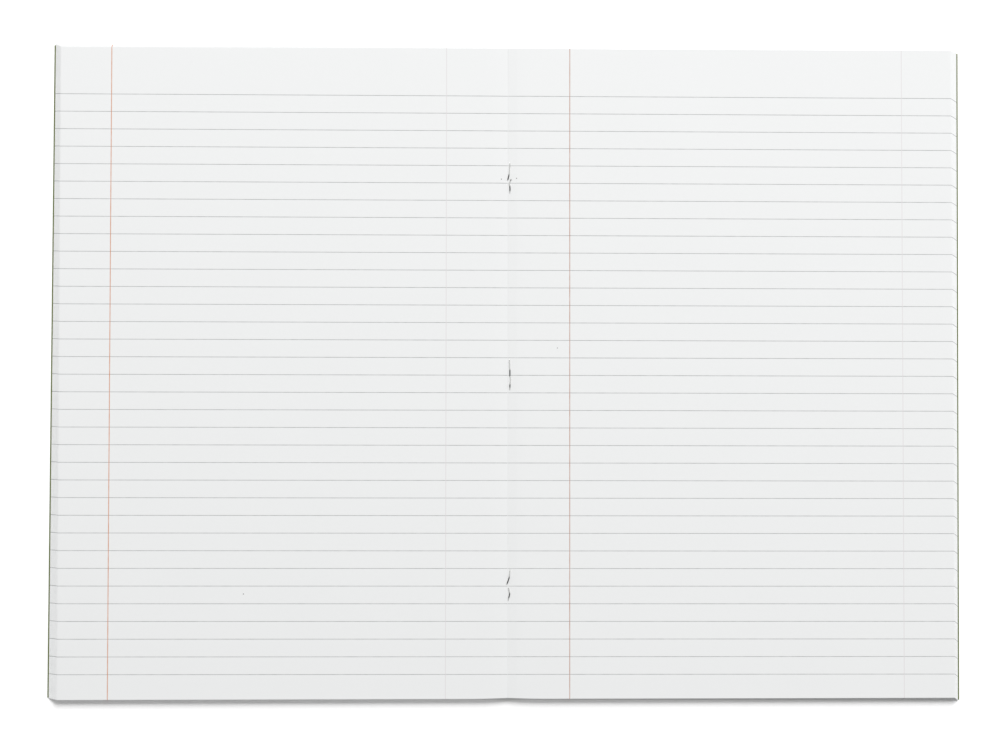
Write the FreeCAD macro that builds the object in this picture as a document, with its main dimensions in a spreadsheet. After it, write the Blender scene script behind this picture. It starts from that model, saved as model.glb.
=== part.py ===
# Open composition notebook: a card cover and ruled sheets, folded together and held by three wire
# staples, lying open at its middle sheet.
# Millimetres. The origin is on the surface below the fold, half way up the page.
# +X runs to the right-hand page, +Y to the head of the page and +Z upwards.

import FreeCAD, Part
import math
import os

import Sketcher

V = FreeCAD.Vector
X_AXIS, Y_AXIS = -1, -2
START, END, CENTRE = 1, 2, 3
RIGHT, LEFT = 1, -1

# Every driving size. A row is the cell's name, its value and what it measures.
SIZES = [
    ("page_height", 297.0, "height of the sheets and the cover"),
    ("cover_reach", 207.5, "fold to fore-edge of the cover"),
    ("cover_card", 0.3, "thickness of the cover card"),
    ("cover_lap", 0.4, "cover fore-edge beyond the lowest leaf"),
    ("sheet_creep", 0.137, "how much shorter each leaf is than the one below"),
    ("sheet_count", 20, "sheets folded into the book"),
    ("sheet_pitch", 0.14, "thickness that a leaf takes up in the loose stack"),
    ("fold_pitch", 0.09, "thickness that a sheet takes up at the stapled fold"),
    ("sheet_skew", 0.275, "degrees that the top sheet is turned from the cover"),
    ("gutter_reach", 9.0, "fold to where the leaves lie flat"),
    ("staple_wire", 0.5, "staple wire diameter"),
    ("staple_crown", 13.5, "staple width between the middles of its legs"),
    ("staple_bend", 0.5, "bend radius of the wire's middle line"),
    ("staple_leg", 5.5, "length of a clinched leg"),
    ("head_staple_up", 89.0, "mid-height to the middle of the head staple"),
    ("middle_staple_down", 1.0, "mid-height to the middle of the middle staple"),
    ("tail_staple_down", 96.8, "mid-height to the middle of the tail staple"),
    ("hole_gap", 0.25, "gap round the wire in its holes"),
    ("crown_gap", 0.02, "gap between a staple's crown and the cover"),
    ("leg_gap", 0.05, "gap between a clinched leg and the middle sheet"),
]

# Sizes that follow from the ones above.
FOLLOWING = [
    ("cover_lift", "staple_wire + crown_gap", "cover's underside at the fold"),
    ("stack_foot", "cover_lift + cover_card", "lowest sheet's underside at the fold"),
    ("fold_top", "stack_foot + sheet_count * fold_pitch", "middle sheet at the fold"),
    ("stack_top", "cover_card + sheet_count * sheet_pitch", "middle sheet where it lies flat"),
    ("lowest_reach", "cover_reach - cover_lap", "fold to fore-edge of the lowest leaf"),
    ("middle_reach", "lowest_reach - ( sheet_count - 1 ) * sheet_creep", "the same for the top leaf"),
    ("crown_level", "staple_wire / 2", "middle of a staple's crown"),
    ("leg_level", "fold_top + leg_gap + staple_wire / 2", "middle of a clinched leg"),
    ("corner_reach", "staple_crown / 2 - staple_bend", "middle of a staple to where its wire bends"),
    ("hole_radius", "staple_wire / 2 + hole_gap", "radius of a hole for the wire"),
    ("middle_staple_up", "-middle_staple_down", "mid-height to the middle staple"),
    ("tail_staple_up", "-tail_staple_down", "mid-height to the tail staple"),
]

# The cell that places each staple up the page.
STAPLES = {
    "staple_head": "head_staple_up",
    "staple_middle": "middle_staple_up",
    "staple_tail": "tail_staple_up",
}

doc = FreeCAD.newDocument("composition_notebook")
sheet = doc.addObject("Spreadsheet::Sheet", "Sizes")


def write_sizes():
    """Fills the sheet: the driving sizes first, then the sizes that follow from them."""
    rows = [(name, str(value), note) for name, value, note in SIZES]
    rows += [(name, "=" + formula, note) for name, formula, note in FOLLOWING]
    for row, (name, content, note) in enumerate(rows, start=1):
        sheet.set(f"A{row}", note)
        sheet.set(f"B{row}", content)
        sheet.setAlias(f"B{row}", name)
    doc.recompute()


def size(name):
    """The number in the cell with this name."""
    return float(getattr(sheet, name))


def bind(thing, **formulas):
    """Ties properties of an object to formulas over the sheet's cells."""
    for prop, formula in formulas.items():
        thing.setExpression(prop.replace("__", "."), formula)


def cell(formula):
    """The formula with each cell's name written the way that other objects read it."""
    words = formula.replace("(", " ( ").replace(")", " ) ").split()
    known = {row[0] for row in SIZES} | {row[0] for row in FOLLOWING}
    return " ".join("Sizes." + word if word in known else word for word in words)


def datum(sketch, kind, *points, value, formula):
    """A dimension of a sketch, tied to a formula."""
    index = sketch.addConstraint(Sketcher.Constraint(kind, *points, value))
    sketch.setExpression(f"Constraints[{index}]", cell(formula))


def join(sketch, first, first_end, second, second_end):
    """Joins two ends in a sketch."""
    sketch.addConstraint(Sketcher.Constraint("Coincident", first, first_end, second, second_end))


def straight(sketch, start, end):
    """Adds a straight line between two points."""
    return sketch.addGeometry(Part.LineSegment(V(*start, 0), V(*end, 0)))


def round_corner(sketch, centre, start, end):
    """Adds an arc the short way between two points.

    Gives its number, and the ends that lie at start and at end.
    """
    radius = math.dist(centre, start)
    angles = [math.atan2(point[1] - centre[1], point[0] - centre[0]) for point in (start, end)]
    onwards = (angles[1] - angles[0]) % (2 * math.pi) < math.pi
    first, last = angles if onwards else angles[::-1]
    if last < first:
        last += 2 * math.pi
    circle = Part.Circle(V(*centre, 0), V(0, 0, 1), radius)
    number = sketch.addGeometry(Part.ArcOfCircle(circle, first, last))
    return (number, START, END) if onwards else (number, END, START)


def line_up(sketch, way, first, first_end, second, second_end):
    """Sets one point straight above, or straight beside, another."""
    sketch.addConstraint(Sketcher.Constraint(way, first, first_end, second, second_end))


def fold_section(sketch, side, foot, top):
    """Draws one half of a layer in cross-section, from the fold out to the cover's fore-edge.

    foot and top each name the level where the layer lies flat and its level at the fold.
    Both faces leave the flat part smoothly, in one arc up or down to the fold.
    """
    gutter = side * size("gutter_reach")
    edge = side * size("cover_reach")
    levels = [size(name) if name else 0.0 for name in (*foot, *top)]
    foot_flat, foot_fold, top_flat, top_fold = levels

    def roll(flat, fold):
        """The arc from the flat part to the fold."""
        radius = (gutter**2 + (fold - flat) ** 2) / (2 * (fold - flat))
        return round_corner(sketch, (gutter, flat + radius), (gutter, flat), (0, fold))

    foot_line = straight(sketch, (gutter, foot_flat), (edge, foot_flat))
    edge_line = straight(sketch, (edge, foot_flat), (edge, top_flat))
    top_line = straight(sketch, (edge, top_flat), (gutter, top_flat))
    fold_line = straight(sketch, (0, top_fold), (0, foot_fold))
    foot_roll, foot_out, foot_in = roll(foot_flat, foot_fold)
    top_roll, top_out, top_in = roll(top_flat, top_fold)
    join(sketch, foot_roll, foot_out, foot_line, START)
    join(sketch, foot_line, END, edge_line, START)
    join(sketch, edge_line, END, top_line, START)
    join(sketch, top_line, END, top_roll, top_out)
    join(sketch, top_roll, top_in, fold_line, START)
    join(sketch, fold_line, END, foot_roll, foot_in)
    line_up(sketch, "Vertical", foot_roll, CENTRE, foot_line, START)
    line_up(sketch, "Vertical", top_roll, CENTRE, top_line, END)
    for line in (foot_line, top_line):
        sketch.addConstraint(Sketcher.Constraint("Horizontal", line))
    for line in (edge_line, fold_line):
        sketch.addConstraint(Sketcher.Constraint("Vertical", line))
    sketch.addConstraint(Sketcher.Constraint("PointOnObject", fold_line, START, Y_AXIS))

    def across(line, end, name):
        points = (X_AXIS, START, line, end) if side == RIGHT else (line, end, X_AXIS, START)
        datum(sketch, "DistanceX", *points, value=size(name), formula=name)

    def up(line, end, name):
        if name:
            datum(sketch, "DistanceY", X_AXIS, START, line, end, value=size(name), formula=name)
        else:
            sketch.addConstraint(Sketcher.Constraint("PointOnObject", line, end, X_AXIS))

    across(foot_line, START, "gutter_reach")
    across(top_line, END, "gutter_reach")
    across(edge_line, START, "cover_reach")
    up(foot_line, START, foot[0])
    up(fold_line, END, foot[1])
    up(top_line, START, top[0])
    up(fold_line, START, top[1])


def cover_half(name, side):
    """Half of the cover card: flat on the surface, and lifted at the fold by the staples."""
    body = doc.addObject("PartDesign::Body", name)
    body.Label = name
    planes = {plane.Role: plane for plane in body.Origin.OriginFeatures}

    section = body.newObject("Sketcher::SketchObject", name + "_section")
    section.AttachmentSupport = (planes["XZ_Plane"], [""])
    section.MapMode = "FlatFace"
    fold_section(section, side, ("", "cover_lift"), ("cover_card", "stack_foot"))
    card = body.newObject("PartDesign::Pad", name + "_card")
    card.Profile = section
    card.SideType = "Symmetric"
    bind(card, Length=cell("page_height"))
    doc.recompute()

    holes = body.newObject("Sketcher::SketchObject", name + "_holes")
    holes.AttachmentSupport = (planes["XY_Plane"], [""])
    holes.MapMode = "FlatFace"
    for place in STAPLES.values():
        for leg in (-1, 1):
            add_hole(holes, place, leg)
    piercing = body.newObject("PartDesign::Pocket", name + "_piercing")
    piercing.Profile = holes
    piercing.Type = "Length"
    piercing.SideType = "Symmetric"
    bind(piercing, Length=cell("4 * stack_foot"))
    doc.recompute()
    return body


def leg_place(place, leg):
    """The formula for how far up the page a staple's leg goes through the fold."""
    return f"{place} {'+' if leg > 0 else '-'} staple_crown / 2"


def add_hole(sketch, place, leg):
    """A round hole on the fold line for one staple leg."""
    up_page = size(place) + leg * size("staple_crown") / 2
    hole = sketch.addGeometry(Part.Circle(V(0, up_page, 0), V(0, 0, 1), size("hole_radius")))
    sketch.addConstraint(Sketcher.Constraint("PointOnObject", hole, CENTRE, Y_AXIS))
    datum(sketch, "Radius", hole, value=size("hole_radius"), formula="hole_radius")
    formula = leg_place(place, leg)
    if up_page > 0:
        datum(sketch, "DistanceY", X_AXIS, START, hole, CENTRE, value=up_page, formula=formula)
    else:
        datum(sketch, "DistanceY", hole, CENTRE, X_AXIS, START, value=-up_page,
              formula=f"-( {formula} )")


def sheet_outline(name, reach, level, turn):
    """The outline of one opened-out sheet, centred on the fold, at its level and turned."""
    outline = doc.addObject("Sketcher::SketchObject", name)
    across, up = size(reach), size("page_height") / 2
    corners = [(-across, -up), (across, -up), (across, up), (-across, up)]
    sides = [straight(outline, a, b) for a, b in zip(corners, corners[1:] + corners[:1])]
    for first, second in zip(sides, sides[1:] + sides[:1]):
        join(outline, first, END, second, START)
    tail, fore, head, _ = sides
    for line in (tail, head):
        outline.addConstraint(Sketcher.Constraint("Horizontal", line))
    outline.addConstraint(Sketcher.Constraint("Vertical", fore))
    outline.addConstraint(Sketcher.Constraint("Symmetric", tail, START, head, START, X_AXIS, START))
    datum(outline, "DistanceX", X_AXIS, START, fore, START, value=across, formula=reach)
    datum(outline, "DistanceY", X_AXIS, START, fore, END, value=up, formula="page_height / 2")
    bind(outline, Placement__Base__z=cell(level), Placement__Rotation__Angle=cell(turn))
    return outline


def leaf_stack():
    """All the sheets, opened out: each a little narrower than the one below and turned further."""
    lowest = sheet_outline("lowest_sheet", "lowest_reach", "cover_card", "0")
    middle = sheet_outline("middle_sheet", "middle_reach", "stack_top", "sheet_skew")
    doc.recompute()
    stack = doc.addObject("Part::Loft", "sheets")
    stack.Sections = [lowest, middle]
    stack.Solid = True
    stack.Ruled = True
    return stack


def leg_holes():
    """One round tool for each hole that a staple leg makes in the sheets."""
    tools = []
    for name, place in STAPLES.items():
        for leg in (-1, 1):
            tool = doc.addObject("Part::Cylinder", f"{name}_hole_{len(tools) + 1}")
            bind(tool, Radius=cell("hole_radius"), Height=cell("2 * stack_top"))
            bind(tool, Placement__Base__y=cell(leg_place(place, leg)))
            tools.append(tool)
    holes = doc.addObject("Part::MultiFuse", "leg_holes")
    holes.Shapes = tools
    return holes


def pages_half(name, side, stack, holes):
    """The leaves on one side of the fold: flat, arched over the cover and rolled down to the fold."""
    section = doc.addObject("Sketcher::SketchObject", name + "_section")
    section.Placement = FreeCAD.Placement(V(0, 0, 0), FreeCAD.Rotation(V(1, 0, 0), 90))
    fold_section(section, side, ("cover_card", "stack_foot"), ("stack_top", "fold_top"))
    room = doc.addObject("Part::Extrusion", name + "_room")
    room.Base = section
    room.DirMode = "Normal"
    room.Symmetric = True
    room.Solid = True
    bind(room, LengthFwd=cell("2 * page_height"))
    doc.recompute()
    # Part's cutting objects widen their tolerance at the tangent arcs and come out empty, so the cut is made
    # on the shapes.
    pages = doc.addObject("Part::Feature", name)
    pages.Label = name
    pages.Shape = stack.Shape.common(room.Shape).cut(holes.Shape)
    return pages


def wire_run(name, up, level, length, along_page):
    """A straight run of staple wire, up the page or upwards, from its lower end."""
    run = doc.addObject("Part::Cylinder", name)
    if along_page:
        run.Placement = FreeCAD.Placement(V(0, 0, 0), FreeCAD.Rotation(V(1, 0, 0), -90))
    bind(run, Radius=cell("staple_wire / 2"), Height=cell(length))
    bind(run, Placement__Base__y=cell(up), Placement__Base__z=cell(level))
    return run


def wire_bend(name, up, level, quarter):
    """A quarter turn of staple wire. Quarter 0 goes from the head side to the top, and so on round."""
    bend = doc.addObject("Part::Torus", name)
    upright = FreeCAD.Rotation(V(1, 1, 1), 120)
    turned = FreeCAD.Rotation(V(1, 0, 0), 90 * quarter) * upright
    bend.Placement = FreeCAD.Placement(V(0, 0, 0), turned)
    bend.Angle3 = 90
    bind(bend, Radius1=cell("staple_bend"), Radius2=cell("staple_wire / 2"))
    bind(bend, Placement__Base__y=cell(up), Placement__Base__z=cell(level))
    return bend


def staple(name, place):
    """A wire staple driven through the fold from below, its legs clinched flat on the middle sheet."""
    low, high = "crown_level + staple_bend", "leg_level - staple_bend"
    leg = f"( {high} ) - ( {low} )"
    clinch = "staple_leg - staple_bend"
    tail, head = f"{place} - corner_reach", f"{place} + corner_reach"
    wire = doc.addObject("Part::MultiFuse", name)
    wire.Label = name
    wire.Shapes = [
        wire_run(name + "_crown", tail, "crown_level", "2 * corner_reach", True),
        wire_run(name + "_tail_leg", f"{place} - staple_crown / 2", low, leg, False),
        wire_run(name + "_head_leg", f"{place} + staple_crown / 2", low, leg, False),
        wire_run(name + "_tail_clinch", tail, "leg_level", clinch, True),
        wire_run(name + "_head_clinch", f"{head} - ( {clinch} )", "leg_level", clinch, True),
        wire_bend(name + "_head_top", head, high, 0),
        wire_bend(name + "_tail_top", tail, high, 1),
        wire_bend(name + "_tail_foot", tail, low, 2),
        wire_bend(name + "_head_foot", head, low, 3),
    ]
    return wire


def check(nodes):
    """Stops if any object failed or any piece isn't one sound solid."""
    failed = [thing.Name for thing in doc.Objects if {"Invalid", "Error"} & set(thing.State)]
    if failed:
        raise RuntimeError("failed objects: " + ", ".join(failed))
    for node in nodes:
        if node.Shape.isNull() or not node.Shape.isValid():
            raise RuntimeError("no sound shape: " + node.Label)
        if len(node.Shape.Solids) != 1:
            raise RuntimeError("not one solid: " + node.Label)


write_sizes()
stack = leaf_stack()
holes = leg_holes()
doc.recompute()
nodes = [
    cover_half("front_cover", LEFT),
    cover_half("back_cover", RIGHT),
    pages_half("left_pages", LEFT, stack, holes),
    pages_half("right_pages", RIGHT, stack, holes),
]
nodes += [staple(name, place) for name, place in STAPLES.items()]
doc.recompute()
check(nodes)
os.makedirs("parts", exist_ok=True)
for node in nodes:
    node.Shape.exportStep(f"parts/{node.Label}.step")
    box = node.Shape.BoundBox
    print(f"{node.Label}: {node.Shape.Volume:.2f} mm3, "
          f"x {box.XMin:.3f} to {box.XMax:.3f}, y {box.YMin:.3f} to {box.YMax:.3f}, "
          f"z {box.ZMin:.3f} to {box.ZMax:.3f}")
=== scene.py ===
"""Open composition notebook: ruled sheets in a green card cover, held by wire staples."""

import math

import bpy
from bpy.props import FloatProperty, FloatVectorProperty, IntProperty, PointerProperty
from mathutils import Euler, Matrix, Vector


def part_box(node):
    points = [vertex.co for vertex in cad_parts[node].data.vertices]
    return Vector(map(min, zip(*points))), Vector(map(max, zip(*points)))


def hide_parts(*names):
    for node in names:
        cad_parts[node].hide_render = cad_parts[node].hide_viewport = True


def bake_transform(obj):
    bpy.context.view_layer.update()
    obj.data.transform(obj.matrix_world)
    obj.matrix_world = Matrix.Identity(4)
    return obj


bl_info = {
    "name": "Open Composition Notebook",
    "version": (1, 0, 0),
    "blender": (4, 5, 0),
    "location": "View3D > Sidebar > Notebook",
    "description": "Builds an open stapled composition notebook around its packed frame",
    "category": "Object",
}

MM = 0.001

# How many patches of each pattern lie along a metre.
PAPER_CLOUDS = 28.0
PAPER_FIBRES = 900.0
INK_PATCHES = 260.0
CREASE_PATCHES = 45.0
CARD_CLOUDS = 22.0
CARD_GRAIN = 700.0
WIRE_PATCHES = 420.0
LEAF_WAVES = 9.0

# Nearly all of a noise pattern lies between the low and the high value.
NOISE_LOW = 0.3
NOISE_MIDDLE = 0.5
NOISE_HIGH = 0.7

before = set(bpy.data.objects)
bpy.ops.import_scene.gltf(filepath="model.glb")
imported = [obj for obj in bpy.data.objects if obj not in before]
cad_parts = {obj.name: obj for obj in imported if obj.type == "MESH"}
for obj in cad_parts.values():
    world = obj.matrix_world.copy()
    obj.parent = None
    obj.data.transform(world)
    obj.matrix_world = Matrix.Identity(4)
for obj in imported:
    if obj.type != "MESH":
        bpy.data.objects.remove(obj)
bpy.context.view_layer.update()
COVER_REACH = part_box("back_cover")[1].x
COVER_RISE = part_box("back_cover")[1].z


def linear(code):
    """An sRGB hex colour such as #f2f2f0 as a linear RGBA."""
    parts = [int(code[i : i + 2], 16) / 255 for i in (1, 3, 5)]
    return [c / 12.92 if c <= 0.04045 else ((c + 0.055) / 1.055) ** 2.4 for c in parts] + [1.0]


def colour(name, code, description):
    """A colour property with its default given in hex."""
    return FloatVectorProperty(
        name=name, description=description, subtype="COLOR", size=4, min=0.0, max=1.0, default=linear(code)
    )


def length(name, millimetres, description):
    """A length property with its default given in millimetres."""
    return FloatProperty(
        name=name, description=description, unit="LENGTH", precision=5, default=millimetres * MM
    )


def turn(name, degrees, description):
    """An angle property with its default given in degrees."""
    return FloatProperty(
        name=name, description=description, unit="ROTATION", precision=4, default=math.radians(degrees)
    )


class SheetSettings(bpy.types.PropertyGroup):
    """The ruled sheets."""

    sheets: IntProperty(name="Sheets", description="Sheets folded into the book", default=20, min=1)
    height: length("Height", 297.0, "Height of a sheet")
    lap: length("Cover lap", 0.6, "How far the cover reaches past the lowest leaf")
    creep: length("Creep", 0.15, "How much shorter each leaf is than the one below")
    stray: length("Stray", 0.07, "How far a leaf's fore edge strays from its even step")
    trim: length("Trim", 0.9, "How much shorter the middle sheet is than the lowest, head to tail")
    rise: length("Rise", 0.15, "How much higher up the page the lowest sheet lies than the middle one")
    shift: length("Shift", 0.35, "How far the middle sheet lies to the right of the cover's fold")
    loose_pitch: length("Loose pitch", 0.14, "Thickness that a leaf takes up where it lies loose")
    fold_pitch: length("Fold pitch", 0.09, "Thickness that a sheet takes up at the stapled fold")
    paper: length("Paper", 0.088, "Thickness of the paper")
    gutter: length("Gutter", 9.0, "Fold to where the leaves lie flat")
    skew: turn("Skew", 0.275, "How far the middle sheet is turned from the cover")
    ripple: length("Ripple", 0.22, "How far the loose leaves dip in gentle waves")
    nick: length("Nick", 0.45, "How far the tail edge draws in at the fold")


class RulingSettings(bpy.types.PropertyGroup):
    """The print and the tones of the paper."""

    paper: colour("Paper", "#f4f5f5", "Uncoated white writing paper")
    feint: colour("Feint", "#a6a8a8", "Grey of the ruled lines")
    left_margin: colour("Left margin", "#d68c62", "Orange red of the left page's margin line")
    right_margin: colour("Right margin", "#c09483", "Dull red of the right page's margin line")
    ghost: colour("Show-through", "#e2dedf", "Margin line of the leaf's other side, seen through the paper")
    # Painted shade: this tone darkens the line along the fold crease and a faint band beside it.
    crease: colour("Crease", "#ebecec", "Worn line along the fold, and the faint band beside it")
    speck: colour("Speck", "#8a8a86", "Pricks and specks in the middle sheet")
    pitch: length("Line pitch", 8.0, "From one ruled line to the next")
    lines: IntProperty(name="Lines", description="Ruled lines on a page", default=34, min=1)
    head: length("Head margin", 21.93, "Head of the sheet to the first line")
    low_turn: turn("Lowest turn", -0.03, "How far the lowest sheet's print is turned from the cover")
    high_turn: turn("Middle turn", 0.188, "How far the middle sheet's print is turned from the cover")
    drift: length("Drift", 0.49, "How much lower the print stands on the lowest sheet than on the middle one")
    line_width: length("Line width", 0.27, "Width of a ruled line")
    margin_width: length("Margin width", 0.38, "Width of a margin line")
    left_place: length("Left margin place", -181.05, "The left page's margin line, across from the fold")
    right_place: length("Right margin place", 28.25, "The right page's margin line, across from the fold")
    # The crease width is the width of the painted shade line along the fold.
    crease_width: length("Crease width", 0.5, "Width of the worn fold line")


class CoverSettings(bpy.types.PropertyGroup):
    """The card cover."""

    card: length("Card", 0.3, "Thickness of the cover card")
    outside: colour("Outside", "#525e16", "Olive green of the coated side")


class StapleSettings(bpy.types.PropertyGroup):
    """The wire staples."""

    wire: length("Wire", 0.44, "Diameter of the staple wire")
    crown: length("Crown place", 0.35, "Middle of the cover to the staples' crowns")
    steel: colour("Steel", "#c8c8c6", "Bright zinc of the wire")
    # Painted reflection: this dark tone stands for dark reflections in runs along the zinc.
    painted_dark: colour("Painted dark", "#0e0d0c", "Dark worn runs along the wire")


class StageSettings(bpy.types.PropertyGroup):
    """The floor, the lights and the camera."""

    key: FloatProperty(name="Key", description="Power of the large soft lamp beyond the head", default=163.0)
    fill: FloatProperty(name="Fill", description="Strength of the even light all round", default=0.32)
    floor: colour("Floor", "#f4f4f4", "Plain white floor")
    glare: FloatProperty(
        name="Glare", description="How overexposed the floor looks to the camera", default=1.35
    )


def add_node(tree, kind, inputs=None, **settings):
    """Adds a node, sets its properties, and fills or links its inputs."""
    node = tree.nodes.new(kind)
    for name, value in settings.items():
        setattr(node, name, value)
    for key, value in (inputs or {}).items():
        if isinstance(value, bpy.types.NodeSocket):
            tree.links.new(value, node.inputs[key])
        else:
            node.inputs[key].default_value = value
    return node


def math_node(tree, operation, *values, clamp=False):
    """The output of a Math node over up to three values or sockets."""
    node = add_node(
        tree, "ShaderNodeMath", dict(enumerate(values)), operation=operation, use_clamp=clamp
    )
    return node.outputs[0]


def stroke(tree, distance, width, soft=0.04 * MM):
    """1 on a drawn line and 0 off it, from the distance to its middle."""
    span = add_node(
        tree, "ShaderNodeMapRange",
        {"Value": distance, "From Min": width / 2 - soft, "From Max": width / 2 + soft,
         "To Min": 1.0, "To Max": 0.0},
        interpolation_type="SMOOTHSTEP",
    )
    return span.outputs["Result"]


def paint(tree, below, above, share):
    """One colour laid over another."""
    mix = add_node(tree, "ShaderNodeMix", data_type="RGBA")
    # A Mix node's sockets go by number here, because its colour inputs share their names with others.
    for socket, value in ((0, share), (6, below), (7, above)):
        if isinstance(value, bpy.types.NodeSocket):
            tree.links.new(value, mix.inputs[socket])
        else:
            mix.inputs[socket].default_value = value
    return mix.outputs[2]


def noise(tree, place, patches, detail):
    """A cloudy pattern from 0 to 1, with so many patches along a metre."""
    node = add_node(tree, "ShaderNodeTexNoise", {"Vector": place, "Scale": patches, "Detail": detail})
    return node.outputs[0]


def stretch(tree, value, low, high, start, end):
    """The value from low to high, stretched to run from start to end."""
    node = add_node(
        tree, "ShaderNodeMapRange",
        {"Value": value, "From Min": low, "From Max": high, "To Min": start, "To Max": end},
    )
    return node.outputs["Result"]


def scaled(tone, factor, lift=0.0):
    """A colour made darker or lighter."""
    return [c * factor + lift for c in tone[:3]] + [1.0]


def roughen(tree, shader, height, strength, depth):
    """Gives a surface a fine relief."""
    bump = add_node(tree, "ShaderNodeBump", {"Height": height, "Strength": strength, "Distance": depth})
    tree.links.new(bump.outputs[0], shader.inputs["Normal"])


def seen_directly(tree):
    """1 for what the camera sees straight, in a mirror or through glass, and 0 for light on the object."""
    rays = add_node(tree, "ShaderNodeLightPath").outputs
    mirrored = math_node(tree, "MAXIMUM", rays["Is Glossy Ray"], rays["Is Transmission Ray"])
    return math_node(tree, "MAXIMUM", rays["Is Camera Ray"], mirrored)


def new_material(name, kind="ShaderNodeBsdfPrincipled"):
    """An empty material with its tree and surface shader."""
    material = bpy.data.materials.new(name)
    material.use_nodes = True
    tree = material.node_tree
    tree.nodes.clear()
    shader = add_node(tree, kind)
    add_node(tree, "ShaderNodeOutputMaterial", {"Surface": shader.outputs[0]})
    return material, tree, shader


# Pricks and specks in the middle sheet: across and up from its middle, and width, in mm.
SPECKS = ((-3.1, 88.4, 0.5), (3.9, 88.8, 0.5), (22.6, 11.1, 0.45), (-119.9, -101.0, 0.5))

# The tone of the paper's clouds and fibres, as a share of its colour, and how strongly each shows.
CLOUD_TONE = 0.96
CLOUD_SHARE = 0.4
FIBRE_TONE = 0.95
FIBRE_SHARE = 0.25

FAINT_INK = 0.72  # how strongly the palest stretch of a printed line shows
GHOST_SPREAD = 1.16  # how much wider a line is that shows through the paper
GHOST_SHARE = 0.55
SHADE_PLACE = 2.3 * MM  # painted shade: a faint band beside the fold
SHADE_WIDTH = 3.6 * MM
SHADE_SHARE = 0.12


def ruled_paper(sizes, ruling):
    """Uncoated writing paper, offset ruled: matt and faintly mottled, with soft-edged lines.

    Clouds about 36 mm wide and fibres about 1 mm long mottle it, and the ink of the lines pales every 4 mm
    or so. Painted shade darkens the fold crease, coming and going every 20 mm or so, and a faint band
    beside it. The map holds each sheet's place in its own print, in metres from the fold and from mid-height.
    """
    material, tree, shader = new_material("ruled_writing_paper")
    page = add_node(tree, "ShaderNodeUVMap", uv_map="page_map").outputs[0]
    split = add_node(tree, "ShaderNodeSeparateXYZ", {0: page})
    across, up = split.outputs[0], split.outputs[1]

    cloud = noise(tree, page, PAPER_CLOUDS, detail=3.0)
    clouds = math_node(tree, "MULTIPLY", cloud, CLOUD_SHARE)
    paper = paint(tree, ruling.paper, scaled(ruling.paper, CLOUD_TONE), clouds)
    fibre = noise(tree, page, PAPER_FIBRES, detail=4.0)
    flecks = math_node(tree, "MULTIPLY", fibre, FIBRE_SHARE)
    paper = paint(tree, paper, scaled(ruling.paper, FIBRE_TONE), flecks)

    first_line = sizes.height / 2 - ruling.head
    rows = math_node(tree, "DIVIDE", math_node(tree, "SUBTRACT", first_line, up), ruling.pitch)
    nearest = math_node(tree, "ROUND", rows)
    nearest = math_node(tree, "MINIMUM", math_node(tree, "MAXIMUM", nearest, 0.0), ruling.lines - 1.0)
    off_line = math_node(tree, "ABSOLUTE", math_node(tree, "SUBTRACT", rows, nearest))
    off_line = math_node(tree, "MULTIPLY", off_line, ruling.pitch)
    ink = noise(tree, page, INK_PATCHES, detail=2.0)
    strength = stretch(tree, ink, NOISE_LOW, NOISE_HIGH, FAINT_INK, 1.0)
    lines = math_node(tree, "MULTIPLY", stroke(tree, off_line, ruling.line_width), strength)
    paper = paint(tree, paper, ruling.feint, lines)

    def upright(place, width):
        """A line that runs up the page."""
        gap = math_node(tree, "ABSOLUTE", math_node(tree, "SUBTRACT", across, place))
        return stroke(tree, gap, width)

    ghost_width = ruling.margin_width * GHOST_SPREAD
    ghosts = math_node(tree, "MAXIMUM", upright(-ruling.right_place, ghost_width),
                       upright(-ruling.left_place, ghost_width))
    paper = paint(tree, paper, ruling.ghost, math_node(tree, "MULTIPLY", ghosts, GHOST_SHARE))
    for place, tone in ((ruling.left_place, ruling.left_margin), (ruling.right_place, ruling.right_margin)):
        share = math_node(tree, "MULTIPLY", upright(place, ruling.margin_width), strength)
        paper = paint(tree, paper, tone, share)
    # Painted shade along the fold crease, coming and going along its length.
    crease_shade_patches = noise(tree, page, CREASE_PATCHES, detail=2.0)
    painted_dark = math_node(tree, "MULTIPLY", upright(0.0, ruling.crease_width), crease_shade_patches)
    paper = paint(tree, paper, ruling.crease, painted_dark)
    # Painted shade in a faint band beside the fold.
    shaded = math_node(tree, "MULTIPLY", upright(SHADE_PLACE, SHADE_WIDTH), SHADE_SHARE)
    paper = paint(tree, paper, ruling.crease, shaded)
    for x, y, size in SPECKS:
        spot = add_node(tree, "ShaderNodeVectorMath", {0: page, 1: (x * MM, y * MM, 0)}, operation="DISTANCE")
        paper = paint(tree, paper, ruling.speck, stroke(tree, spot.outputs["Value"], size * MM))

    tree.links.new(paper, shader.inputs["Base Color"])
    shader.inputs["Roughness"].default_value = 0.85
    shader.inputs["Specular IOR Level"].default_value = 0.25
    roughen(tree, shader, fibre, strength=0.12, depth=0.02 * MM)
    return material


# The card's tone in its darkest clouds and its palest grain, as a share of its colour.
CARD_DARK = 0.8
CARD_PALE = 1.35
CARD_LIFT = 0.02  # added to the palest grain
GRAIN_SHARE = 0.35


def cover_card(cover):
    """Coated card, half matt: soft clouds about 45 mm wide under a felt grain of 1 to 2 mm."""
    material, tree, shader = new_material("green_cover_card")
    place = add_node(tree, "ShaderNodeUVMap", uv_map="page_map").outputs[0]
    grain = noise(tree, place, CARD_GRAIN, detail=5.0)
    cloud = noise(tree, place, CARD_CLOUDS, detail=3.0)
    tone = paint(tree, scaled(cover.outside, CARD_DARK), cover.outside, cloud)
    flecks = math_node(tree, "MULTIPLY", grain, GRAIN_SHARE)
    tone = paint(tree, tone, scaled(cover.outside, CARD_PALE, CARD_LIFT), flecks)
    tree.links.new(tone, shader.inputs["Base Color"])
    shader.inputs["Roughness"].default_value = 0.6
    roughen(tree, shader, grain, strength=0.25, depth=0.04 * MM)
    return material
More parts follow.
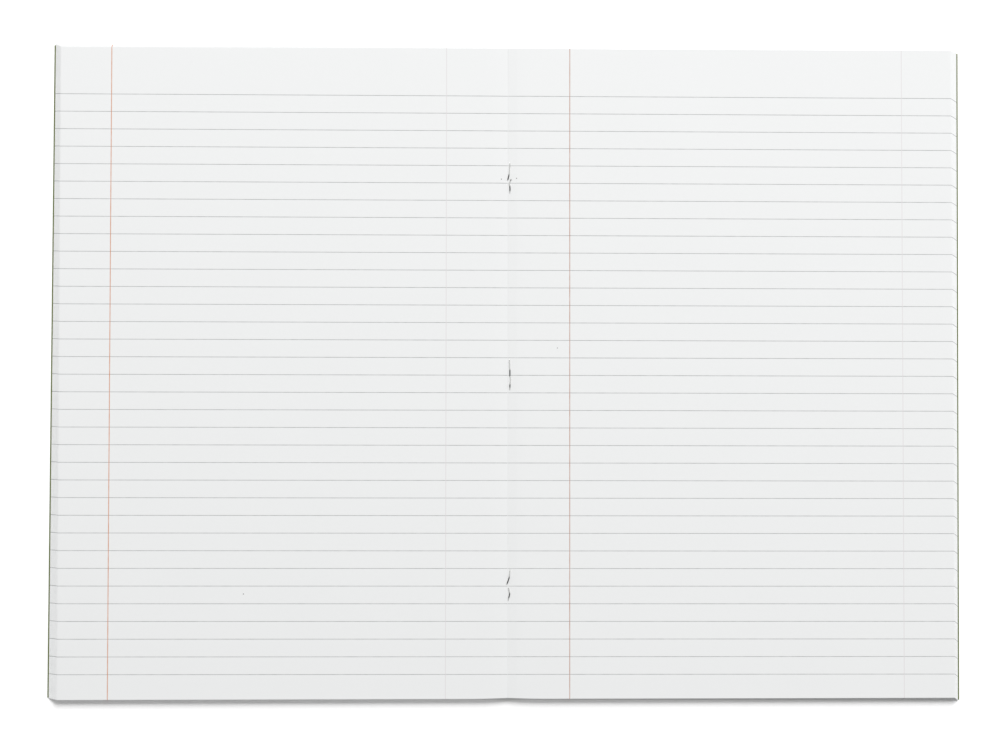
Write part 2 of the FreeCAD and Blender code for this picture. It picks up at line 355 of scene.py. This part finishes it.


# Where dark reflections are painted on each staple's zinc: from and to, in mm up from the staple's middle.
DARK_REFLECTION_RUNS = {
    "staple_head": ((-6.1, -3.8), (-1.2, 1.6)),
    "staple_middle": ((-6.1, -4.6), (-0.9, 2.1)),
    "staple_tail": ((-6.1, -3.6), (-0.3, 3.6)),
}
DARK_REFLECTION_FADE = 0.5 * MM
DARK_REFLECTION_SHARE = 0.85  # how dark the palest patch of a painted dark reflection is
BRIGHT_ROUGHNESS = 0.25
DARK_RUN_ROUGHNESS = 0.45


def staple_steel(staples):
    """Galvanised drawn wire: bright zinc that mirrors the room, with dark reflections painted in runs along
    it.

    Fine patches, 2 to 3 mm long, make the painted runs uneven.
    """
    material, tree, shader = new_material("galvanised_staple_wire")
    place = add_node(tree, "ShaderNodeTexCoord").outputs["Object"]
    up = add_node(tree, "ShaderNodeSeparateXYZ", {0: place}).outputs[1]
    # Painted dark reflections in runs along each staple.
    painted_dark = 0.0
    for node, runs in DARK_REFLECTION_RUNS.items():
        low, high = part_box(node)
        for start, end in runs:
            middle = (low.y + high.y + (start + end) * MM) / 2
            gap = math_node(tree, "ABSOLUTE", math_node(tree, "SUBTRACT", up, middle))
            painted_dark = math_node(tree, "MAXIMUM", painted_dark, stroke(tree, gap, (end - start) * MM, DARK_REFLECTION_FADE))
    patches = noise(tree, place, WIRE_PATCHES, detail=2.0)
    uneven = stretch(tree, patches, NOISE_LOW, NOISE_MIDDLE, DARK_REFLECTION_SHARE, 1.0)
    bright = math_node(tree, "SUBTRACT", 1.0, math_node(tree, "MULTIPLY", painted_dark, uneven))
    tree.links.new(paint(tree, staples.painted_dark, staples.steel, bright), shader.inputs["Base Color"])
    shader.inputs["Metallic"].default_value = 1.0
    smoother = BRIGHT_ROUGHNESS - DARK_RUN_ROUGHNESS
    rough = math_node(tree, "MULTIPLY_ADD", bright, smoother, DARK_RUN_ROUGHNESS)
    tree.links.new(rough, shader.inputs["Roughness"])
    return material


# The inputs of the folded-sheets group. All but the two in INPUT_KINDS are plain numbers.
SHEET_INPUTS = (
    "Sheets", "Reach", "Height", "Creep", "Stray", "Skew", "Top Where Flat", "Flat Pitch", "Top At Fold",
    "Fold Pitch", "Gutter", "Ripple", "Nick", "Trim", "Rise", "Shift", "Lowest Print Turn",
    "Middle Print Turn", "Print Drift", "Material",
)
INPUT_KINDS = {"Sheets": "NodeSocketInt", "Material": "NodeSocketMaterial"}
COLUMNS = 81
ROWS = 21
CROWDING = 2.5  # how closely the columns crowd towards the fold
STRAY_SEED = 7
ROLL_CURVE = 2.0  # how sharply the leaves roll into the gutter
NICK_CURVE = 8.0  # how closely the drawn-in stretch keeps to the tail edge
NICK_GUTTERS = 2.0  # how far it reaches from the fold, in gutter widths
NICK_TAPER = 2.0  # how sharply it ends there
DRIFT_CURVE = 1.5  # how the print's drop grows towards the lowest sheet


def folded_sheets_tree():
    """A node group that lays folded sheets on one another, from the cover up."""
    tree = bpy.data.node_groups.new("folded_sheets", "GeometryNodeTree")
    tree.is_modifier = True
    tree.interface.new_socket("Geometry", in_out="OUTPUT", socket_type="NodeSocketGeometry")
    for name in SHEET_INPUTS:
        kind = INPUT_KINDS.get(name, "NodeSocketFloat")
        tree.interface.new_socket(name, in_out="INPUT", socket_type=kind)
    given = add_node(tree, "NodeGroupInput").outputs

    def plus(a, b):
        return math_node(tree, "ADD", a, b)

    def minus(a, b, clamp=False):
        return math_node(tree, "SUBTRACT", a, b, clamp=clamp)

    def times(a, b):
        return math_node(tree, "MULTIPLY", a, b)

    def over(a, b):
        return math_node(tree, "DIVIDE", a, b)

    # One flat sheet, placed once for each sheet of the book and numbered from the lowest.
    leaf = add_node(tree, "GeometryNodeMeshGrid",
                    {"Size X": 2.0, "Size Y": 1.0, "Vertices X": COLUMNS, "Vertices Y": ROWS})
    pile = add_node(tree, "GeometryNodeMeshLine", {"Count": given["Sheets"], "Offset": (0, 0, 0)})
    placed = add_node(tree, "GeometryNodeInstanceOnPoints",
                      {"Points": pile.outputs[0], "Instance": leaf.outputs[0]})
    number = add_node(tree, "GeometryNodeInputIndex").outputs[0]
    numbered = add_node(tree, "GeometryNodeStoreNamedAttribute",
                        {"Geometry": placed.outputs[0], "Name": "sheet", "Value": number},
                        data_type="FLOAT", domain="INSTANCE")
    real = add_node(tree, "GeometryNodeRealizeInstances", {"Geometry": numbered.outputs[0]})
    sheet = add_node(tree, "GeometryNodeInputNamedAttribute", {"Name": "sheet"},
                     data_type="FLOAT").outputs[0]

    # The share is 0 for the lowest sheet and 1 for the middle one, and the depth runs the other way.
    share = over(sheet, math_node(tree, "MAXIMUM", minus(given["Sheets"], 1.0), 1.0))
    depth = minus(1.0, share)

    # Across and up on the sheet, with the columns crowded where it folds.
    grid = add_node(tree, "ShaderNodeSeparateXYZ",
                    {0: add_node(tree, "GeometryNodeInputPosition").outputs[0]}).outputs
    chance = add_node(tree, "FunctionNodeRandomValue",
                      {"Min": -1.0, "Max": 1.0, "ID": sheet, "Seed": STRAY_SEED}, data_type="FLOAT")
    stray = times(next(o for o in chance.outputs if o.enabled), given["Stray"])
    reach = plus(minus(given["Reach"], times(sheet, given["Creep"])), stray)
    crowded = math_node(tree, "POWER", math_node(tree, "ABSOLUTE", grid[0]), CROWDING)
    across = times(times(math_node(tree, "SIGN", grid[0]), crowded), reach)
    height = plus(given["Height"], times(depth, given["Trim"]))
    up = plus(times(grid[1], height), times(depth, given["Rise"]))

    # The roll into the gutter is 1 at the fold and 0 where the leaves lie flat.
    off_fold = over(math_node(tree, "ABSOLUTE", across), given["Gutter"])
    roll = math_node(tree, "POWER", minus(1.0, off_fold, clamp=True), ROLL_CURVE)
    flat_top = math_node(tree, "MULTIPLY_ADD", sheet, given["Flat Pitch"], given["Top Where Flat"])
    fold_top = math_node(tree, "MULTIPLY_ADD", sheet, given["Fold Pitch"], given["Top At Fold"])
    level = plus(flat_top, times(roll, minus(fold_top, flat_top)))

    # Loose leaves dip in gentle waves, deepest in the middle sheet.
    plan = add_node(tree, "ShaderNodeCombineXYZ", {0: across, 1: up}).outputs[0]
    waves = noise(tree, plan, LEAF_WAVES, detail=1.0)
    dip = times(times(minus(1.0, waves), given["Ripple"]), times(share, minus(1.0, roll)))
    level = minus(level, dip)

    # The tail edge draws in where the sheet was folded and trimmed. The grid is at -0.5 there.
    tail = math_node(tree, "POWER", minus(0.0, times(grid[1], 2.0), clamp=True), NICK_CURVE)
    nearness = minus(1.0, over(off_fold, NICK_GUTTERS), clamp=True)
    near_fold = math_node(tree, "POWER", nearness, NICK_TAPER)
    edge = plus(up, times(times(tail, near_fold), times(share, given["Nick"])))

    # Each sheet is turned and shifted a little more than the one below it.
    lifted = add_node(tree, "ShaderNodeCombineXYZ", {0: across, 1: edge, 2: level}).outputs[0]
    turned = add_node(tree, "ShaderNodeVectorRotate",
                      {"Vector": lifted, "Angle": times(share, given["Skew"])}, rotation_type="Z_AXIS")
    aside = add_node(tree, "ShaderNodeCombineXYZ", {0: times(share, given["Shift"])}).outputs[0]
    laid = add_node(tree, "ShaderNodeVectorMath", {0: turned.outputs[0], 1: aside}, operation="ADD")

    # The print has a turn and a drop of its own.
    lower = times(math_node(tree, "POWER", depth, DRIFT_CURVE), given["Print Drift"])
    drop = add_node(tree, "ShaderNodeCombineXYZ", {1: lower}).outputs[0]
    inked = add_node(tree, "ShaderNodeVectorMath", {0: turned.outputs[0], 1: drop}, operation="ADD")
    print_turn = plus(times(depth, given["Lowest Print Turn"]), times(share, given["Middle Print Turn"]))
    printed = add_node(tree, "ShaderNodeVectorRotate",
                       {"Vector": inked.outputs[0], "Angle": minus(0.0, print_turn)}, rotation_type="Z_AXIS")
    mapped = add_node(tree, "GeometryNodeStoreNamedAttribute",
                      {"Geometry": real.outputs[0], "Name": "page_map", "Value": printed.outputs[0]},
                      data_type="FLOAT2", domain="CORNER")
    shaped = add_node(tree, "GeometryNodeSetPosition",
                      {"Geometry": mapped.outputs[0], "Position": laid.outputs[0]})
    finished = add_node(tree, "GeometryNodeSetMaterial",
                        {"Geometry": shaped.outputs[0], "Material": given["Material"]})
    add_node(tree, "NodeGroupOutput", {0: finished.outputs[0]})
    return tree


def finished_piece(name, maker, sharp_degrees):
    """The maker's finished mesh as an object of its own, smooth but for its sharp edges."""
    bpy.context.scene.collection.objects.link(maker)
    bpy.context.view_layer.update()
    graph = bpy.context.evaluated_depsgraph_get()
    mesh = bpy.data.meshes.new_from_object(maker.evaluated_get(graph), preserve_all_data_layers=True,
                                           depsgraph=graph)
    bpy.data.objects.remove(maker)
    mesh.shade_smooth()
    mesh.set_sharp_from_angle(angle=math.radians(sharp_degrees))
    piece = bpy.data.objects.new(name, mesh)
    bpy.context.scene.collection.objects.link(piece)
    return piece


def folded_sheets(name, thickness, values):
    """A piece made by the folded-sheets group, given its paper's thickness."""
    tree = bpy.data.node_groups.get("folded_sheets") or folded_sheets_tree()
    maker = bpy.data.objects.new(name + "_maker", bpy.data.meshes.new(name + "_maker"))
    nodes = maker.modifiers.new("Sheets", "NODES")
    nodes.node_group = tree
    for item in tree.interface.items_tree:
        if item.in_out == "INPUT" and item.name in values:
            nodes[item.identifier] = values[item.name]
    solid = maker.modifiers.new("Paper", "SOLIDIFY")
    solid.thickness = thickness
    solid.offset = -1.0
    return finished_piece(name, maker, sharp_degrees=40)


def bend_at_the_fold(piece):
    """Bakes the piece's transform into its mesh.
    """
    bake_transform(piece)


class NOTEBOOK_OT_sheets(bpy.types.Operator):
    """Build the ruled sheets, folded into one another"""

    bl_idname = "notebook.sheets"
    bl_label = "Ruled Sheets"

    def execute(self, context):
        sizes, ruling = context.scene.notebook_sheets, context.scene.notebook_ruling
        card = context.scene.notebook_cover.card
        paper = ruled_paper(sizes, ruling)
        sheets = folded_sheets("ruled_sheets", sizes.paper, {
            "Sheets": sizes.sheets,
            "Reach": COVER_REACH - sizes.lap,
            "Height": sizes.height,
            "Creep": sizes.creep,
            "Stray": sizes.stray,
            "Skew": sizes.skew,
            "Top Where Flat": card + sizes.loose_pitch,
            "Flat Pitch": sizes.loose_pitch,
            "Top At Fold": COVER_RISE + sizes.fold_pitch,
            "Fold Pitch": sizes.fold_pitch,
            "Gutter": sizes.gutter,
            "Ripple": sizes.ripple,
            "Nick": sizes.nick,
            "Trim": sizes.trim,
            "Rise": sizes.rise,
            "Shift": sizes.shift,
            "Lowest Print Turn": ruling.low_turn,
            "Middle Print Turn": ruling.high_turn,
            "Print Drift": ruling.drift,
            "Material": paper,
        })
        bend_at_the_fold(sheets)
        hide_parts("left_pages", "right_pages")
        return {"FINISHED"}


class NOTEBOOK_OT_cover(bpy.types.Operator):
    """Build the folded card cover"""

    bl_idname = "notebook.cover"
    bl_label = "Card Cover"

    def execute(self, context):
        sizes, cover = context.scene.notebook_sheets, context.scene.notebook_cover
        card = folded_sheets("card_cover", cover.card, {
            "Sheets": 1,
            "Reach": COVER_REACH,
            "Height": sizes.height,
            "Top Where Flat": cover.card,
            "Top At Fold": COVER_RISE,
            "Gutter": sizes.gutter,
            "Material": cover_card(cover),
        })
        bend_at_the_fold(card)
        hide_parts("front_cover", "back_cover")
        return {"FINISHED"}


CORNER = 0.5 * MM  # length of wire that a bent corner takes up

# The clinched legs of each staple on the middle sheet, from the hole to the tip: across from the fold
# and up from the staple's middle, in mm, first the leg nearer the head.
CLINCHED_LEGS = {
    "staple_head": (
        ((0.85, 6.4), (0.72, 3.6), (0.48, 1.2), (-0.05, -0.8)),
        ((0.93, -6.4), (0.96, -3.7), (0.42, -2.2), (1.45, -0.7)),
    ),
    "staple_middle": (
        ((1.05, 6.4), (1.1, 4.0), (1.3, 1.8), (1.28, -0.8)),
        ((1.32, -6.4), (1.3, -4.9), (1.6, -2.2), (1.45, -1.3)),
    ),
    "staple_tail": (
        ((1.7, 6.4), (1.5, 4.4), (1.25, 2.7), (0.35, 0.45)),
        ((1.0, -6.4), (1.7, -4.1), (1.3, -2.6), (1.05, -1.35)),
    ),
}


def bent_wire(name, points, radius, material):
    """A round wire bent through the points."""
    curve = bpy.data.curves.new(name, "CURVE")
    curve.dimensions = "3D"
    curve.bevel_depth = radius
    curve.bevel_resolution = 4
    curve.use_fill_caps = True
    spline = curve.splines.new("NURBS")
    spline.points.add(len(points) - 1)
    for knot, place in zip(spline.points, points):
        knot.co = (*place, 1.0)
    spline.order_u = 3
    spline.use_endpoint_u = True
    spline.resolution_u = 6
    maker = bpy.data.objects.new(name + "_maker", curve)
    wire = finished_piece(name, maker, sharp_degrees=60)
    wire.data.materials.clear()
    wire.data.materials.append(material)
    return wire


class NOTEBOOK_OT_staples(bpy.types.Operator):
    """Build the three wire staples"""

    bl_idname = "notebook.staples"
    bl_label = "Wire Staples"

    def execute(self, context):
        staples = context.scene.notebook_staples
        steel = staple_steel(staples)
        radius = staples.wire / 2
        for node, legs in CLINCHED_LEGS.items():
            low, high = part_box(node)
            middle = (low.y + high.y) / 2
            hole = (high.y - low.y) / 2 - radius
            crown, clinch = radius, high.z - radius
            runs = []
            for side, leg in zip((1, -1), legs):
                up = middle + side * hole
                top = leg[0][0] * MM
                runs.append([
                    (staples.crown, up - side * 2 * CORNER, crown),
                    (staples.crown, up, crown),
                    (staples.crown, up, crown + CORNER),
                    (top, up, clinch - CORNER),
                    (top, up, clinch),
                    *((x * MM, middle + y * MM, clinch) for x, y in leg),
                ])
            wire = bent_wire(node + "_wire", runs[0][::-1] + runs[1], radius, steel)
            bend_at_the_fold(wire)
            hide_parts(node)
        return {"FINISHED"}


FLOOR_HALF_SIZE = 3.0  # metres, as are the next two
KEY_PLACE = (0.6, 2.8, 2.8)
KEY_SIZE = (2.6, 2.4)


def white_floor(stage):
    """A plain matt floor, overexposed to the camera as in the photo, so it looks like the white beyond."""
    size = FLOOR_HALF_SIZE
    corners = [(-size, -size, 0), (size, -size, 0), (size, size, 0), (-size, size, 0)]
    mesh = bpy.data.meshes.new("floor")
    mesh.from_pydata(corners, [], [(0, 1, 2, 3)])
    material, tree, shader = new_material("white_floor", "ShaderNodeBsdfDiffuse")
    tone = paint(tree, stage.floor, scaled(stage.floor, stage.glare), seen_directly(tree))
    tree.links.new(tone, shader.inputs["Color"])
    mesh.materials.append(material)
    floor = bpy.data.objects.new("floor", mesh)
    bpy.context.scene.collection.objects.link(floor)


def studio_light(stage):
    """Even light all round, white to the camera, and one large soft lamp beyond the head."""
    world = bpy.data.worlds.new("studio")
    world.use_nodes = True
    tree = world.node_tree
    tree.nodes.clear()
    strength = math_node(tree, "MULTIPLY_ADD", seen_directly(tree), 1.0 - stage.fill, stage.fill)
    back = add_node(tree, "ShaderNodeBackground", {"Color": (1, 1, 1, 1), "Strength": strength})
    add_node(tree, "ShaderNodeOutputWorld", {"Surface": back.outputs[0]})
    bpy.context.scene.world = world

    lamp = bpy.data.lights.new("key", "AREA")
    lamp.energy = stage.key
    lamp.shape = "RECTANGLE"
    lamp.size, lamp.size_y = KEY_SIZE
    key = bpy.data.objects.new("key", lamp)
    bpy.context.scene.collection.objects.link(key)
    key.location = KEY_PLACE
    key.rotation_euler = (-key.location).to_track_quat("-Z", "Y").to_euler()


# The camera, nearly straight above: where it stands in mm, its turn in radians, and its focal length
# and the width of the picture in pixels of the photograph.
CAMERA_PLACE_MM = (-43.9, -59.2, 1319.5)
CAMERA_TURN = (0.0436, -0.03192, 0.00439)
FOCAL_PIXELS = 2889.9
IMAGE_WIDTH = 1005
SENSOR_WIDTH_MM = 36.0
NEAREST_SEEN = 0.01  # metres


def photo_camera():
    """The camera, standing as in the photo."""
    data = bpy.data.cameras.new("camera")
    data.sensor_width = SENSOR_WIDTH_MM
    data.lens = FOCAL_PIXELS * SENSOR_WIDTH_MM / IMAGE_WIDTH
    data.clip_start = NEAREST_SEEN
    camera = bpy.data.objects.new("camera", data)
    bpy.context.scene.collection.objects.link(camera)
    camera.location = [c * MM for c in CAMERA_PLACE_MM]
    camera.rotation_euler = Euler(CAMERA_TURN, "XYZ")
    bpy.context.scene.camera = camera


class NOTEBOOK_OT_stage(bpy.types.Operator):
    """Build the floor, the lights and the camera"""

    bl_idname = "notebook.stage"
    bl_label = "Stage"

    def execute(self, context):
        context.scene.view_settings.view_transform = "Standard"
        white_floor(context.scene.notebook_stage)
        studio_light(context.scene.notebook_stage)
        photo_camera()
        return {"FINISHED"}


class NOTEBOOK_PT_build(bpy.types.Panel):
    """Lists the steps that build the notebook"""

    bl_label = "Composition Notebook"
    bl_space_type = "VIEW_3D"
    bl_region_type = "UI"
    bl_category = "Notebook"

    def draw(self, context):
        for operator in OPERATORS:
            self.layout.operator(operator.bl_idname)


GROUPS = {
    "notebook_sheets": SheetSettings,
    "notebook_ruling": RulingSettings,
    "notebook_cover": CoverSettings,
    "notebook_staples": StapleSettings,
    "notebook_stage": StageSettings,
}
OPERATORS = (NOTEBOOK_OT_stage, NOTEBOOK_OT_cover, NOTEBOOK_OT_sheets, NOTEBOOK_OT_staples)


def register():
    for name, group in GROUPS.items():
        bpy.utils.register_class(group)
        setattr(bpy.types.Scene, name, PointerProperty(type=group))
    for operator in OPERATORS:
        bpy.utils.register_class(operator)
    bpy.utils.register_class(NOTEBOOK_PT_build)


def unregister():
    bpy.utils.unregister_class(NOTEBOOK_PT_build)
    for operator in reversed(OPERATORS):
        bpy.utils.unregister_class(operator)
    for name, group in reversed(GROUPS.items()):
        delattr(bpy.types.Scene, name)
        bpy.utils.unregister_class(group)


def main():
    register()
    bpy.ops.notebook.stage()
    bpy.ops.notebook.cover()
    bpy.ops.notebook.sheets()
    bpy.ops.notebook.staples()


if __name__ == "__main__":
    main()
